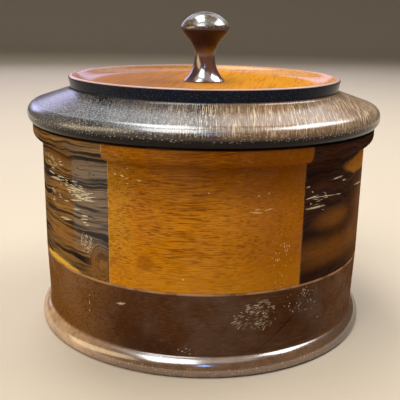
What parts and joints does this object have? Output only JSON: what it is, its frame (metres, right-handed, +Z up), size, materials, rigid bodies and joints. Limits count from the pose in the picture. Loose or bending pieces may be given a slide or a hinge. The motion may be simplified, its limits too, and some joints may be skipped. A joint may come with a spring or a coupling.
{
  "type": "lidded wooden jar",
  "caption": "Turned wooden jar with alternating light and dark wall staves, a beaded foot and a loose dished lid lifted by a mushroom knob; holds dry goods.",
  "frame": {"origin": "middle of the foot, on the plane that the jar stands on", "axes": "+Z up along the turning axis; -Y to the front, through the middle of wall_light_1; +X to the right"},
  "size_m": [0.1506, 0.1506, 0.1319],
  "materials": {
    "base": "dark brown wood, clear lacquer",
    "wall_light_1": "orange-brown open-pored wood, clear lacquer",
    "wall_dark_1": "dark striped wood, clear lacquer",
    "wall_light_2": "orange-brown open-pored wood, clear lacquer",
    "wall_dark_2": "dark striped wood, clear lacquer",
    "wall_light_3": "orange-brown open-pored wood, clear lacquer",
    "wall_dark_3": "dark striped wood, clear lacquer",
    "lid_ring": "near-black open-grained wood, clear lacquer",
    "lid_dish": "orange-brown wood, clear lacquer",
    "knob": "dark red-brown wood, clear lacquer"
  },
  "bodies": {
    "jar": {"base": "base", "wall_light_1": "wall_light_1", "wall_dark_1": "wall_dark_1", "wall_light_2": "wall_light_2", "wall_dark_2": "wall_dark_2", "wall_light_3": "wall_light_3", "wall_dark_3": "wall_dark_3"},
    "lid": {"lid_ring": "lid_ring", "lid_dish": "lid_dish", "knob": "knob"}
  },
  "joints": [
    {"name": "lid_lift", "type": "slide", "parent": "jar", "child": "lid", "axis": [0, 0, 1], "range_m": [0, 0.12]}
  ]
}
